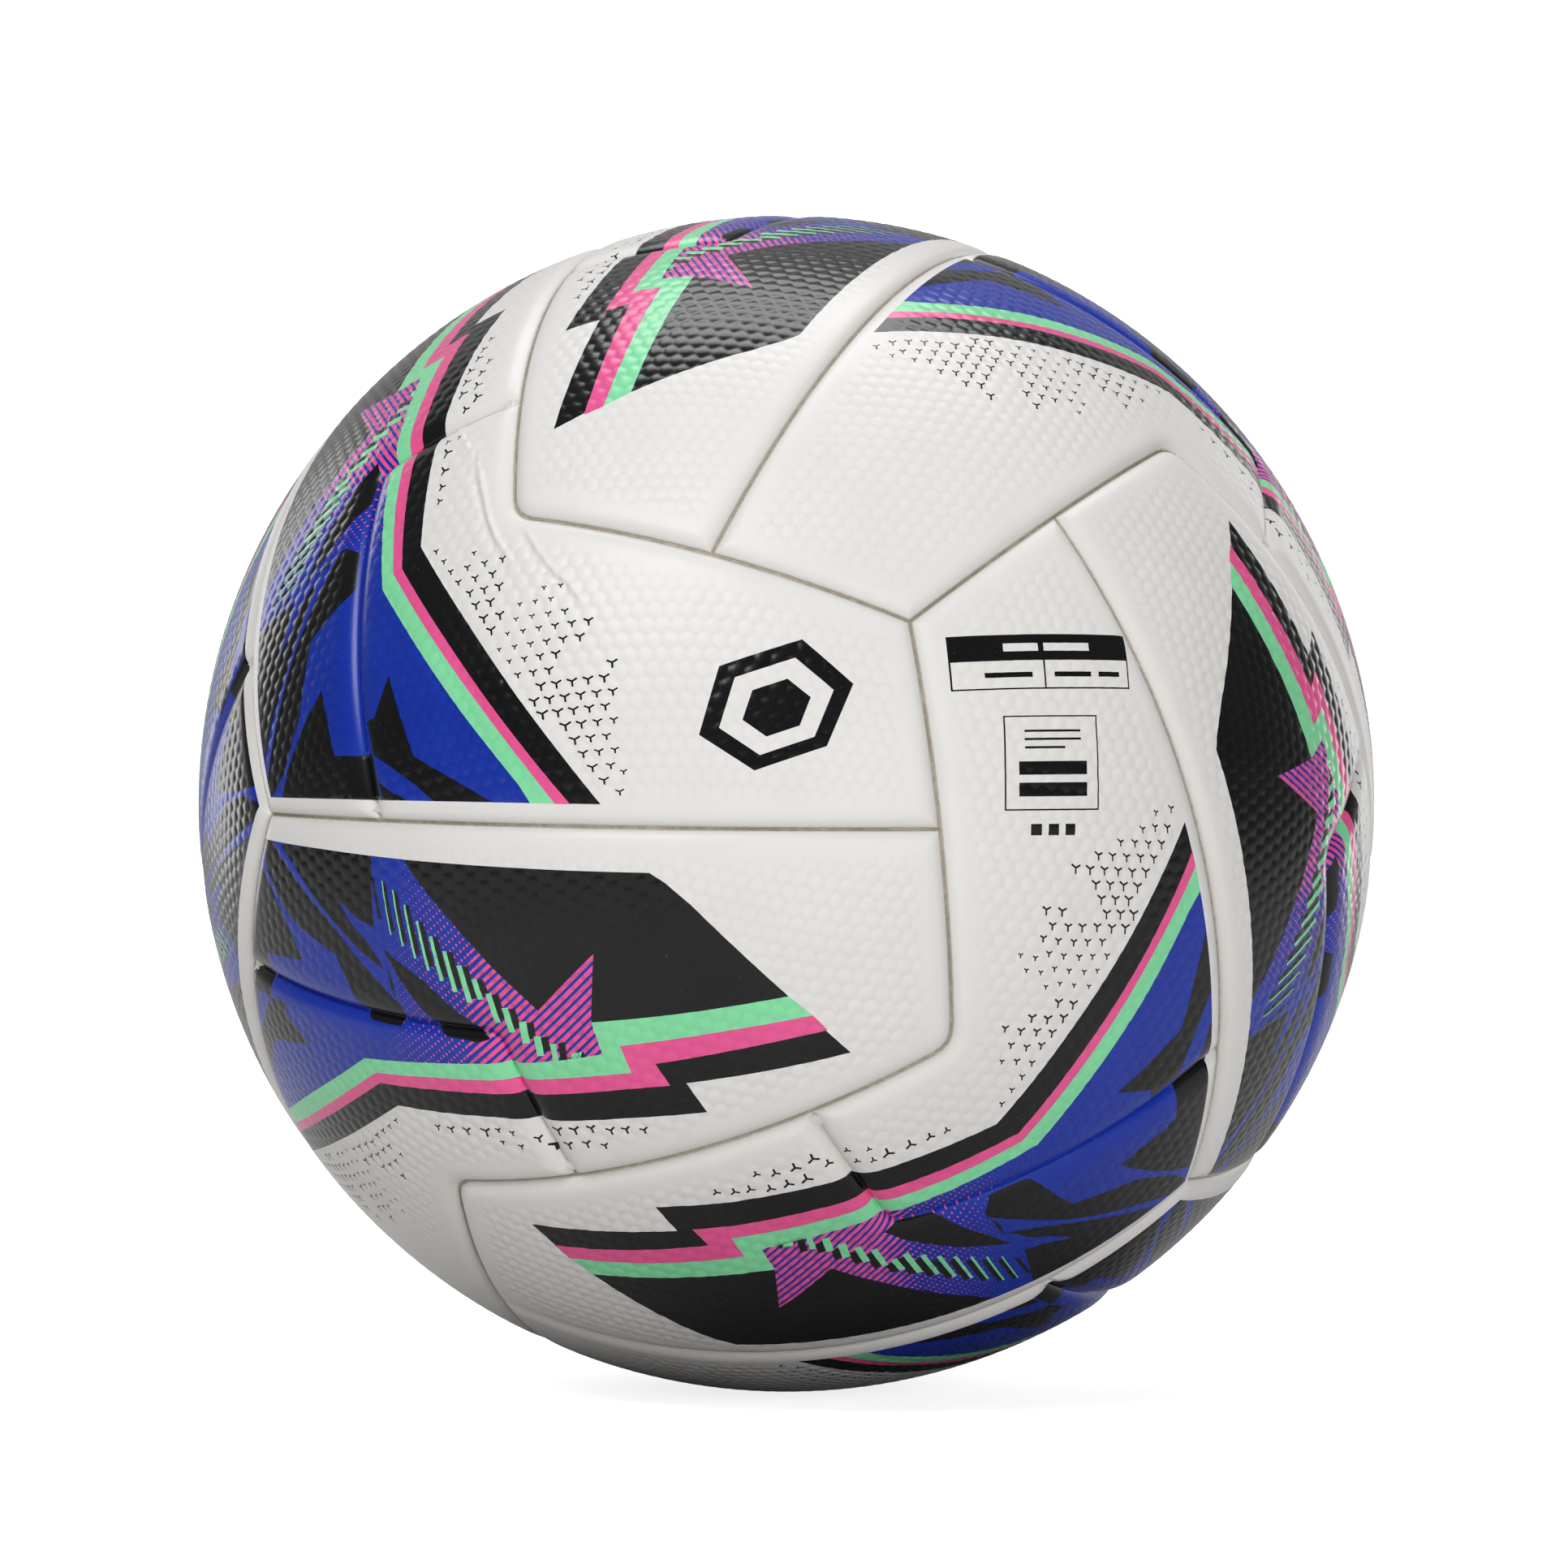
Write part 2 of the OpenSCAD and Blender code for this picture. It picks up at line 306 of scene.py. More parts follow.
# black shards over the blue field
SHARDS = [
    [(1213, 1668), (1238, 1664), (1256, 1670), (1300, 1680), (1312, 1693), (1336, 1737),
     (1376, 1805), (1409, 1874), (1318, 1797), (1240, 1708)],
    [(1399, 1708), (1402, 1702), (1440, 1708), (1474, 1715), (1484, 1722), (1498, 1745),
     (1525, 1810), (1550, 1863), (1610, 1898), (1700, 1948), (1730, 1970), (1790, 2034),
     (1850, 2104), (1903, 2198), (1907, 2222), (1850, 2209), (1770, 2132), (1700, 2066),
     (1600, 1976), (1540, 1918), (1470, 1842), (1384, 1747), (1383, 1733)],
    [(1410, 1826), (1470, 1870), (1520, 1916), (1600, 1993), (1700, 2098), (1796, 2194),
     (1600, 2155), (1433, 2117), (1431, 1928), (1478, 1952), (1530, 1998), (1539, 2003),
     (1500, 1946), (1450, 1892)],
    [(1858, 1745), (1985, 1762), (1953, 1950), (1931, 2080), (1918, 2152), (1850, 2082),
     (1780, 1998), (1715, 1912), (1675, 1852), (1740, 1855), (1843, 1864), (1856, 1800)],
    [(2031, 1475), (2010, 1613), (1960, 1648), (1900, 1702), (1862, 1742), (1779, 1738),
     (1777, 1708), (1694, 1646), (1790, 1638), (1888, 1630), (1950, 1560)],
    [(1998, 1683), (1986, 1757), (1935, 1752), (1962, 1728)],
    [(1389, 1750), (1402, 1790), (1404, 1840), (1396, 1800)],
]
# short mint bars: left, top, right, bottom, and the width of the black bar to the left
BARS = [
    (1052, 1617, 1070, 1627, 13), (1092, 1617, 1102, 1650, 14), (1114, 1630, 1127, 1668, 12),
    (1132, 1657, 1146, 1699, 12), (1156, 1680, 1168, 1730, 12), (1180, 1701, 1191, 1762, 12),
    (1202, 1751, 1213, 1794, 12), (1226, 1747, 1237, 1826, 11), (1253, 1771, 1262, 1860, 11),
    (1279, 1796, 1287, 1896, 10), (1307, 1821, 1313, 1934, 10), (1335, 1849, 1340, 1976, 9),
    (1363, 1878, 1367, 2017, 8), (1392, 1907, 1395, 2044, 7), (1424, 1940, 1424, 2058, 6)]
# the first two black bars have shapes of their own
FIRST_DARK_BARS = [
    [(1047, 1617), (1063, 1617), (1062, 1627), (1046, 1627)],
    [(1079, 1617), (1091, 1617), (1085, 1650), (1072, 1650)]]
# columns of three-armed marks: x, first y, step, count, first size, last size
COLUMNS = [
    (1473, 1508, 28, 1, 6, 6), (1497, 1433, 30, 1, 5, 5), (1497, 1493, 30, 1, 6, 6),
    (1521, 1381, 33, 4, 7.5, 6.5), (1545, 1400, 33, 3, 8.5, 7), (1571, 1389, 28, 3, 9.5, 8.5),
    (1597, 1407, 28, 2, 10, 9.5), (1626, 1391, 31, 2, 10, 10.5), (1652, 1410, 30, 1, 10.5, 10.5),
    (1590, 1281, 28, 2, 5, 5), (1613, 1298, 27.5, 3, 5.5, 5), (1640, 1275, 29, 4, 7.5, 5),
    (1665, 1235, 29, 6, 9.5, 5), (1693, 1251, 29.5, 6, 10, 5), (1720, 1295, 29, 4, 10, 5.5),
    (1750, 1310, 29.5, 3, 10, 7.5), (1752, 1197, 30, 1, 11, 11), (1780, 1212, 29, 5, 11, 11),
    (1810, 1198, 29.2, 6, 10, 12), (1840, 1213, 29.6, 5, 10, 13), (1872, 1199, 30.5, 4, 9, 13),
    (1906, 1215, 30.5, 3, 9.5, 12.5), (1940, 1201, 31, 3, 9, 11.5), (1976, 1212, 36, 2, 10, 12),
    (1995, 1188, 30, 1, 8, 8), (2011, 1228, 30, 1, 12, 12), (2045, 1199, 30, 1, 10.5, 10.5)]
# single marks beside the pressed groove: x, y, size
GROOVE_MARKS = [
    (1003, 1467, 7.5), (1031, 1474, 8.5), (1056, 1477, 8.5), (1077, 1451, 7), (1086, 1486, 9),
    (1105, 1459, 8.5), (1115, 1487, 10), (1137, 1460, 10), (1145, 1488, 11), (1168, 1455, 10.5),
    (1186, 1475, 8), (1220, 1465, 6), (1227, 1491, 6), (1252, 1474, 5), (1251, 1498, 6),
    (1276, 1496, 11), (1313, 1498, 10), (1346, 1500, 8.5), (1374, 1503, 7)]
# how far the print sits from its nominal place on each panel, in sheet steps
SHIFT = [(0, 0), (12, 6), (36, -16), (-10, 8), (-6, 3), (34, -18),
         (8, -12), (-14, -6), (10, -8), (16, 4), (-6, 10), (34, -30)]
BADGE = (1880, 900, 150)     # x, y and radius

# Places on the front of the ball as the viewer sees them: mm right and mm up from the
# middle of a disc as large as the ball's visible outline.
VIEW_DIST = 10.3004432       # viewer's distance in ball radii
# corners of the two information boxes: upper left, upper right, lower right, lower left
WIDE_BOX = [(27.968380, 29.298752), (59.528309, 29.584363),
            (60.385139, 20.159226), (28.968016, 19.730810)]
TALL_BOX = [(38.107543, 15.446657), (54.530130, 15.589462),
            (54.958545, -1.118735), (38.393153, -1.261540)]
# creases: path, half width in mm, height in mm
CREASES = [
    ([(-54.430166, 61.429901), (-53.573336, 55.717697), (-52.288090, 49.862688),
      (-51.002844, 46.578170), (-48.432352, 42.865238)], 0.5, 0.36),
    ([(-55.286997, 60.715876), (-54.572971, 55.289282), (-53.144920, 49.291467),
      (-51.859674, 46.149755), (-49.289182, 42.151212)], 0.65, -0.26),
    ([(-46.147470, 48.577442), (-43.862588, 44.864509), (-40.720876, 40.865966),
      (-38.293189, 38.866695), (-35.722697, 35.296567)], 0.45, 0.32),
    ([(-46.861496, 48.006221), (-44.719419, 44.150483), (-41.577707, 40.151940),
      (-39.150020, 38.009864), (-36.579528, 34.582541)], 0.65, -0.24),
    ([(-58.428709, 67.142106), (-56.429438, 63.571978), (-54.858582, 60.573071)], 0.6, 0.24)]


def seen_at(x, z):
    """unit vector, in the pattern's frame, of a spot on the front of the ball"""
    reach = math.sqrt(VIEW_DIST * VIEW_DIST - 1)
    slope_x, slope_z = x / BALL_R / reach, z / BALL_R / reach
    # nearer crossing of the line of sight with the unit sphere
    square = slope_x * slope_x + slope_z * slope_z + 1
    root = math.sqrt(4 * VIEW_DIST * VIEW_DIST - 4 * square * reach * reach)
    t = (2 * VIEW_DIST - root) / (2 * square)
    return TO_WORLD.T @ np.array([slope_x * t, t - VIEW_DIST, slope_z * t])


CREASE_PATHS = [(to_mm(np.array([TURN[CREASED_PANEL].T @ seen_at(*spot) for spot in path])),
                 width, height) for path, width, height in CREASES]


def bars():
    """mint bars and the black bars to their left; they lean further along the row"""
    green, dark = [], []
    for k, (left, top, right, bottom, width) in enumerate(BARS):
        width = width * 0.98
        lean = max(-9, (6 - 1.76 * k if k > 3 else 5) * 0.5)
        if k < len(BARS) - 1:
            green.append([(left + lean, top), (right + lean, top),
                          (right - lean, bottom), (left - lean, bottom)])
        if k < len(FIRST_DARK_BARS):
            dark.append(FIRST_DARK_BARS[k])
        else:
            dark.append([(left + lean - width - 2, top + 7), (left + lean, top + 7),
                         (left - lean, bottom - 3), (left - lean - width - 2, bottom - 3)])
    return green, dark


def tri_mark(x, y, size, deg):
    """three thin arms that meet at 120 degrees"""
    points = []
    half = 0.85 + size * 0.1
    for k in range(3):
        arm = math.radians(deg + 120 * k)
        dx, dy = math.cos(arm), math.sin(arm)
        fork = math.radians(deg + 120 * k + 60)
        points += [(x + dx * size + dy * half, y + dy * size - dx * half),
                   (x + dx * size - dy * half, y + dy * size + dx * half),
                   (x + math.cos(fork) * half * 1.155, y + math.sin(fork) * half * 1.155)]
    return points


def marks():
    """three-armed marks in columns, and singly on both sides of the pressed groove"""
    out = []
    for x, y, step, count, first, last in COLUMNS:
        for k in range(count):
            size = first + (last - first) * (k / max(1, count - 1))
            out.append(tri_mark(x, y + k * step, size, 0))
    return out + [tri_mark(x, y, size, -90) for x, y, size in GROOVE_MARKS]


def cells(box, spans):
    """four-sided areas in a box, from (left, top, right, bottom) as parts of its sides"""
    upper_l, upper_r, lower_r, lower_l = [np.array(to_sheet(seen_at(*p)), float) for p in box]

    def place(u, v):
        return tuple((upper_l * (1 - u) + upper_r * u) * (1 - v)
                     + (lower_l * (1 - u) + lower_r * u) * v)
    return [[place(u0, v0), place(u1, v0), place(u1, v1), place(u0, v1)]
            for u0, v0, u1, v1 in spans]


def label_boxes():
    """plain information boxes without any lettering: black and white areas"""
    line = 0.009
    dark = cells(WIDE_BOX, [
        # solid upper half, frame and divider
        (0, 0, 1, .49), (0, .49, line, 1), (1 - line, .49, 1, 1),
        (line, 1 - 3 * line, 1 - line, 1), (.462, .49, .462 + line, 1 - 3 * line),
        # short bars in the lower half
        (.16, .70, .40, .79), (.52, .70, .74, .79), (.79, .70, .93, .79)])
    light = cells(WIDE_BOX, [(.26, .17, .44, .32), (.47, .17, .74, .32)])
    line = 0.016
    dark += cells(TALL_BOX, [
        # frame
        (0, 1 - line, 1, 1), (0, line, line, 1 - line), (1 - line, line, 1, 1 - line),
        (0, 0, 1, line),
        # thin lines above two broad stripes
        (.20, .16, .80, .185), (.20, .25, .80, .275), (.20, .34, .62, .365),
        (.14, .50, .86, .64), (.14, .72, .86, .86)]
        # three small blocks below the box
        + [(.26 + .18 * k, 1.13, .26 + .18 * k + .11, 1.24) for k in range(3)])
    return dark, light


def hexagon(x, y, radius):
    angles = [math.radians(60 * k + 12) for k in range(6)]
    return [(x + radius * math.cos(a), y + radius * math.sin(a)) for a in angles]


def print_areas(i):
    """(ink, polygon) in painting order, in sheet coordinates"""
    green, dark = bars()
    areas = [("black", BLACK), ("pink", PINK_TOP + PINK_LOW),
             ("green", PINK_LOW[::-1] + GREEN_LOW), ("blue", BLUE)]
    areas += [("black", poly) for poly in SHARDS + dark]
    areas += [("green", poly) for poly in green]
    areas += [("black", poly) for poly in marks()]
    if i == LABEL_PANEL:
        dark_boxes, light_bars = label_boxes()
        areas += [("black", poly) for poly in dark_boxes]
        areas += [("white", poly) for poly in light_bars]
    if i == CREASED_PANEL:
        x, y, radius = BADGE
        areas += [(ink, hexagon(x, y, radius * part))
                  for ink, part in (("black", 1), ("white", 0.74), ("black", 0.44))]
    return areas


# ---------------------------------------------------------------------------
# surface of the cover
# ---------------------------------------------------------------------------
def smooth(value, start, end):
    t = np.clip((value - start) / (end - start), 0, 1)
    return t * t * (3 - 2 * t)


def shoulder(away, flat, width, depth):
    """quarter-round drop, full depth up to flat and none beyond width"""
    t = np.clip((width - away) / (width - flat), 0, 1)
    return depth * (1 - np.sqrt(np.maximum(0, 1 - t ** 2)))


def domes(flat):
    """shallow domes on a hexagonal lattice: 1 at the crowns, lowest in the valleys"""
    cos, sin = cosd(DOME_DEG), sind(DOME_DEG)
    x = (flat[:, 0] * cos + flat[:, 1] * sin) / DOME
    y = (-flat[:, 0] * sin + flat[:, 1] * cos) / DOME
    best = np.full(len(flat), 9.0)
    first_row = np.floor(y / (math.sqrt(3) / 2))
    for k in (-1, 0, 1, 2):
        row = first_row + k
        offset = np.where(row % 2 == 0, 0.0, 0.5)
        near_x = np.round(x - offset) + offset
        best = np.minimum(best, (x - near_x) ** 2 + (y - row * math.sqrt(3) / 2) ** 2)
    return 1 - (best * 3) ** 1.5


def crease_height(flat):
    """soft creases that run out at both ends"""
    total = np.zeros(len(flat))
    for path, width, height in CREASE_PATHS:
        best = np.full(len(flat), 1e9)
        progress = np.zeros(len(flat))
        count = len(path) - 1
        for j in range(count):
            step = path[j + 1] - path[j]
            t = np.clip(((flat - path[j]) @ step) / (step @ step), 0, 1)
            away = np.linalg.norm(flat - path[j] - t[:, None] * step, axis=1)
            nearer = away < best
            best[nearer] = away[nearer]
            progress[nearer] = (j + t[nearer]) / count
        ends = np.sin(np.pi * np.clip(progress, 0.02, 0.98)) ** 0.6
        total += height * np.exp(-(best / width) ** 2) * ends
    return total


def skin_radius(i, flat, seam, press):
    """radius of the outer skin from flat places and distances to the seam and the groove"""
    edge = shoulder(seam, LIP, EDGE_W, EDGE_D)
    pressed = shoulder(press, PRESS_FLAT, PRESS_W, PRESS_D)
    drop = (edge ** 4 + pressed ** 4) ** 0.25
    fade = smooth(seam, *SEAM_FADE) * smooth(press, *PRESS_FADE)
    radius = BALL_R - drop - SINK * np.exp(-seam / SINK_REACH)
    radius = radius + DOME_H * (domes(flat) - 0.7) * fade
    if i == CREASED_PANEL:
        radius = radius + crease_height(flat)
    return radius


def hexgrid(step, reach, angle):
    """hexagonal lattice of flat points within reach of the middle"""
    count = int(reach / step) + 2
    column, row = np.meshgrid(np.arange(-count, count + 1), np.arange(-count, count + 1))
    x = step * (column + 0.5 * row).ravel()
    y = step * (row * math.sqrt(3) / 2).ravel()
    near = x * x + y * y < reach * reach
    x, y = x[near], y[near]
    cos, sin = math.cos(angle), math.sin(angle)
    return np.stack([x * cos - y * sin, x * sin + y * cos], -1)


def thin(points, keep, cell):
    """drops points that fall within about one cell of any point in keep"""
    low = np.minimum(points.min(0), keep.min(0)) - 3 * cell
    size = int((np.maximum(points.max(0), keep.max(0)) - low).max() / cell) + 4
    taken = np.zeros((size, size), bool)
    spots = ((keep - low) / cell).astype(int)
    for dx in (-1, 0, 1):
        for dy in (-1, 0, 1):
            taken[spots[:, 0] + dx, spots[:, 1] + dy] = True
    spots = ((points - low) / cell).astype(int)
    return points[~taken[spots[:, 0], spots[:, 1]]]


def triangulate(loops, loose):
    """triangles over the hull of closed loops and loose points, loop edges kept

    Returns the new points, the triangles and the new index of every given point."""
    points = np.concatenate(loops + [loose])
    edges = []
    start = 0
    for loop in loops:
        count = len(loop)
        edges += [(start + k, start + (k + 1) % count) for k in range(count)]
        start += count
    result = delaunay_2d_cdt([Vector((float(x), float(y))) for x, y in points],
                             edges, [], 0, 1e-5)
    flat = np.array([(p[0], p[1]) for p in result[0]])
    faces = np.array([face for face in result[2] if len(face) == 3], int)
    where = np.full(len(points), -1, int)
    for k, sources in enumerate(result[3]):
        for j in sources:
            if j < len(points):
                where[j] = k
    return flat, faces, where


def trim(flat, faces, border, hole, facing):
    """triangles inside the border and outside the hole, all wound to one side"""
    centres = flat[faces].mean(1)
    keep = inside(centres, border)
    if hole is not None:
        keep &= ~inside(centres, hole)
    faces = faces[keep]
    size = np.cross(flat[faces[:, 1]] - flat[faces[:, 0]], flat[faces[:, 2]] - flat[faces[:, 0]])
    wrong = size * facing < 0
    faces[wrong] = faces[wrong][:, ::-1]
    return faces, size


# the valve axis and two directions across it, in the frame of the unturned panel
VALVE = TURN[VALVE_PANEL].T @ (TO_WORLD.T @ np.array([0.0, 1.0, 0.0]))
VALVE_X = unit(np.cross(VALVE, [0.3, 0.1, 0.9]))
VALVE_Y = np.cross(VALVE, VALVE_X)


def from_valve(dirs):
    """distance from the valve axis over the ball, in mm"""
    return angle_from(dirs, VALVE) * BALL_R


def around_valve(radius, angle):
    width = radius / BALL_R
    across = VALVE_X * np.cos(angle) + VALVE_Y * np.sin(angle)
    return VALVE * math.cos(width) + across * math.sin(width)


def valve_ring(radius):
    """flat circle of 96 points round the valve"""
    return to_mm(around_valve(radius, np.linspace(0, 2 * math.pi, 97)[:-1][:, None]))


def round_valve(loop, clear):
    """leads the outline of an ink area round the valve hole instead of across it"""
    away = from_valve(loop)
    if away.min() > clear + 2.0:
        return loop
    fine = []
    for k in range(len(loop)):
        k2 = (k + 1) % len(loop)
        count = 6 if min(away[k], away[k2]) < clear + 1.3 else 1
        fine.append(between(loop[k], loop[k2], np.arange(count)[:, None] / count))
    loop = np.concatenate(fine)
    away = from_valve(loop)
    if away.max() < clear:
        return None
    angle = np.arctan2(loop @ VALVE_Y, loop @ VALVE_X)
    out = []
    for k in range(len(loop)):
        k2 = (k + 1) % len(loop)
        if away[k] >= clear:
            out.append(loop[k])
            continue
        sweep = 0.0
        if away[k2] < clear:
            sweep = (angle[k2] - angle[k] + math.pi) % (2 * math.pi) - math.pi
        count = int(abs(sweep) / 0.15)
        for j in range(count + 1):
            out.append(around_valve(clear, angle[k] + sweep * j / (count + 1)))
    return np.array(out)


def print_loops(i):
    """(ink, flat outline) of every printed area, and close points along all of them"""
    areas, dense = [], []
    near = 0
    for ink, poly in print_areas(i):
        loop = split(sheet(poly, SHIFT[i]), 1.1)
        if i == VALVE_PANEL and from_valve(loop).min() < HOLE_R + 3:
            # areas of up to four corners are left out beside the valve
            if len(poly) <= 4:
                continue
            # each outline keeps its own distance, so that none overlap
            loop = round_valve(loop, 6.9 + 0.3 * near)
            near += 1
            if loop is None:
                continue
        dense.append(to_mm(split(loop, 0.2)))
        areas.append((ink, to_mm(loop)))
    return areas, np.concatenate(dense)


# distances from the seam and from the groove's middle at which the mesh has rows of points
SEAM_ROWS = (0.34, 0.44, 0.56, 0.74, 0.96, 1.25, 1.6, 2.05, 2.6, 3.2)
PRESS_ROWS = (0.0, 0.16, 0.26, 0.4, 0.6, 0.85, 1.15, 1.55, 2.05, 2.65, 3.35, 4.05, 4.6)
CREASE_ROWS = (-1.3, -0.9, -0.55, -0.25, 0.0, 0.25, 0.55, 0.9, 1.3)


def seam_rows():
    out = []
    for away in SEAM_ROWS:
        row = split(inset(OUTLINE, away), min(0.85, 0.45 + 0.25 * away))
        out.append(row[seam_dist(row) > away - 0.02])
    return out


def press_rows():
    out = []
    path = split(GROOVE, 0.5, False)
    normals = side_normals(path)
    for away in PRESS_ROWS:
        for sign in ((1, -1) if away else (1,)):
            row = unit(path + sign * normals * math.tan(away / BALL_R))
            if away > 1.5:
                row = row[::2]
            out.append(row[groove_dist(row) > away - 0.02])
    return out


def crease_rows():
    out = []
    for path, _, _ in CREASE_PATHS:
        run = []
        for start, end in zip(path[:-1], path[1:]):
            step = 0.45 / np.linalg.norm(end - start)
            run.append(start + (end - start) * np.arange(0, 1, step)[:, None])
        run = np.concatenate(run)
        tangents = unit(np.gradient(run, axis=0))
        normals = np.stack([-tangents[:, 1], tangents[:, 0]], -1)
        out += [from_mm(run + normals * away) for away in CREASE_ROWS]
    return out


def loose_points(i, rim, hole, dense):
    """mesh points of the outer skin that lie on no outline"""
    rows = seam_rows() + press_rows()
    if i == CREASED_PANEL:
        rows += crease_rows()
    rows = np.concatenate(rows)
    rows = to_mm(rows[inside(to_mm(rows), rim) & (seam_dist(rows) > 0.32)])
    lattice = hexgrid(GRID, PANEL_REACH, math.radians(DOME_DEG))
    lattice = lattice[inside(lattice, rim)]
    dirs = from_mm(lattice)
    lattice = lattice[(seam_dist(dirs) > 3.6) & (groove_dist(dirs) > PRESS_W)]
    free = np.concatenate([rows, thin(lattice, rows, 0.28)])
    if hole is None:
        return thin(free, dense, 0.16)
    free = thin(free, np.concatenate([dense, hole]), 0.16)
    free = free[from_valve(from_mm(free)) > HOLE_ZONE]
    rings = np.concatenate([valve_ring(radius) for radius in (6.28, 6.42, 6.65, 7.0, 7.5)])
    return np.concatenate([free, thin(rings, dense, 0.16)])


def outer_skin(i, rim, hole):
    """points, triangles, inks, flat places, distances and the new indices of rim and hole"""
    areas, dense = print_loops(i)
    borders = [rim] if hole is None else [rim, hole]
    flat, faces, where = triangulate(borders + [poly for _, poly in areas],
                                     loose_points(i, rim, hole, dense))
    faces, size = trim(flat, faces, rim, hole, 1)
    faces = faces[np.abs(size) > 1e-13]
    centres = flat[faces].mean(1)
    ink = np.zeros(len(faces), int)
    for name, poly in areas:
        low, high = poly.min(0), poly.max(0)
        near = np.where((centres >= low).all(1) & (centres <= high).all(1))[0]
        ink[near[inside(centres[near], poly)]] = INKS.index(name)
    dirs = from_mm(flat)
    seam, press = seam_dist(dirs), groove_dist(dirs)
    radius = skin_radius(i, flat, seam, press)
    if hole is not None:
        away = from_valve(dirs)
        edge = BALL_R - SINK - shoulder(away, HOLE_R, HOLE_ROUND, HOLE_DEPTH)
        radius = np.where(away < HOLE_ZONE, np.minimum(radius, edge), radius)
    radius[where[:len(rim)]] = GLUE_R - CLEAR
    return dirs * radius[:, None], faces, ink, flat, seam, press, where


def inner_skin(foot, hole):
    """the same for the inner skin: on the foam, with a rim down to the carcass"""
    lattice = hexgrid(INNER_GRID, PANEL_REACH, 0.3)
    lattice = lattice[inside(lattice, foot)]
    dirs = from_mm(lattice)
    lattice = lattice[(seam_dist(dirs) > 3.0) & (groove_dist(dirs) > 3.0)]
    loops = [foot]
    if hole is not None:
        loops.append(hole)
        lattice = lattice[from_valve(from_mm(lattice)) > 9.0]
    for away in RIM_STEP[::2]:
        loops.append(to_mm(split(inset(OUTLINE, away), 3.0)))
    path = split(GROOVE, 3.0, False)
    for away in PRESS_STEP[::2]:
        offset = side_normals(path) * math.tan(away / BALL_R)
        loop = np.concatenate([unit(path + offset), unit(path - offset)[::-1]])
        loops.append(to_mm(loop[seam_dist(loop) > 2.4]))
    flat, faces, where = triangulate(loops, lattice)
    faces, _ = trim(flat, faces, foot, hole, -1)
    dirs = from_mm(flat)
    seam, press = seam_dist(dirs), groove_dist(dirs)
    pressed = (press < PRESS_STEP[1]) & (seam > 2.3)
    radius = np.where(seam < RIM_STEP[1], RUBBER_R + CLEAR,
                      np.where(pressed, FOAM_R - PRESS_INNER, FOAM_R + CLEAR))
    return dirs * radius[:, None], faces, flat, seam, press, where


def wall(top, bottom):
    """triangles between two matching rings of indices"""
    top2, bottom2 = np.roll(top, -1), np.roll(bottom, -1)
    return np.concatenate([np.stack([top, bottom, bottom2], 1),
                           np.stack([top, bottom2, top2], 1)])


def build(name, verts, faces, mats, slots=None, uvs=(), attrs=()):
    """smooth mesh object of triangles, with UV maps and point attributes given per vertex"""
    count = len(faces)
    if slots is None:
        slots = np.zeros(count, int)
    mesh = bpy.data.meshes.new(name)
    mesh.vertices.add(len(verts))
    mesh.vertices.foreach_set("co", np.asarray(verts, np.float32).ravel())
    mesh.loops.add(3 * count)
    mesh.loops.foreach_set("vertex_index", faces.astype(np.int32).ravel())
    mesh.polygons.add(count)
    mesh.polygons.foreach_set("loop_start", np.arange(0, 3 * count, 3, dtype=np.int32))
    mesh.polygons.foreach_set("loop_total", np.full(count, 3, np.int32))
    mesh.polygons.foreach_set("material_index", slots.astype(np.int32))
    mesh.polygons.foreach_set("use_smooth", np.ones(count, bool))
    mesh.update(calc_edges=True)
    for title, coords in uvs:
        layer = mesh.uv_layers.new(name=title)
        layer.data.foreach_set("uv", coords[faces.ravel()].astype(np.float32).ravel())
    for title, values in attrs:
        layer = mesh.attributes.new(title, "FLOAT", "POINT")
        layer.data.foreach_set("value", values.astype(np.float32))
    for mat in mats:
        mesh.materials.append(mat)
    mesh.validate()
    obj = bpy.data.objects.new(name, mesh)
    bpy.context.scene.collection.objects.link(obj)
    return obj


def cover_panel(i, mats):
    """outer skin, inner skin, and the walls that join them at the rim and the valve hole"""
    rim, foot = split_pair(inset(OUTLINE, LIP), inset(OUTLINE, HALF_GAP), 0.8)
    rim, foot = to_mm(rim), to_mm(foot)
    hole = valve_ring(HOLE_R) if i == VALVE_PANEL else None
    outer, faces, ink, flat, seam, press, where = outer_skin(i, rim, hole)
    inner, inner_faces, inner_flat, inner_seam, inner_press, inner_where = inner_skin(foot, hole)
    first = len(outer)
    count = len(rim)
    parts = [faces, inner_faces + first, wall(where[:count], inner_where[:count] + first)]
    if hole is not None:
        ring = slice(count, count + len(hole))
        parts.append(wall(where[ring][::-1], (inner_where[ring] + first)[::-1]))
    slots = np.concatenate([ink] + [np.zeros(len(part), int) for part in parts[1:]])
    flat = np.concatenate([flat, inner_flat])
    # print coordinates move with the print, measured at a place near its middle
    place = [(1300, 1700)]
    moved = flat - (to_mm(sheet(place, SHIFT[i])) - to_mm(sheet(place)))
    verts = (np.concatenate([outer, inner]) @ TURN[i].T) @ TO_WORLD.T * MM
    return build("panel_skin_%02d" % (i + 1), verts, np.concatenate(parts), mats, slots,
                 uvs=(("mm", flat), ("print", moved)),
                 attrs=(("inset", np.concatenate([seam, inner_seam])),
                        ("press", np.concatenate([press, inner_press]))))


# ---------------------------------------------------------------------------
# materials
# ---------------------------------------------------------------------------
def linear(*rgb):
    """screen colour from 0 to 255 as linear RGBA"""
    return tuple((c / 255 / 12.92) if c <= 10 else ((c / 255 + 0.055) / 1.055) ** 2.4
                 for c in rgb) + (1.0,)


def shifted(rgb, *steps):
    return linear(*[c + step for c, step in zip(rgb, steps)])


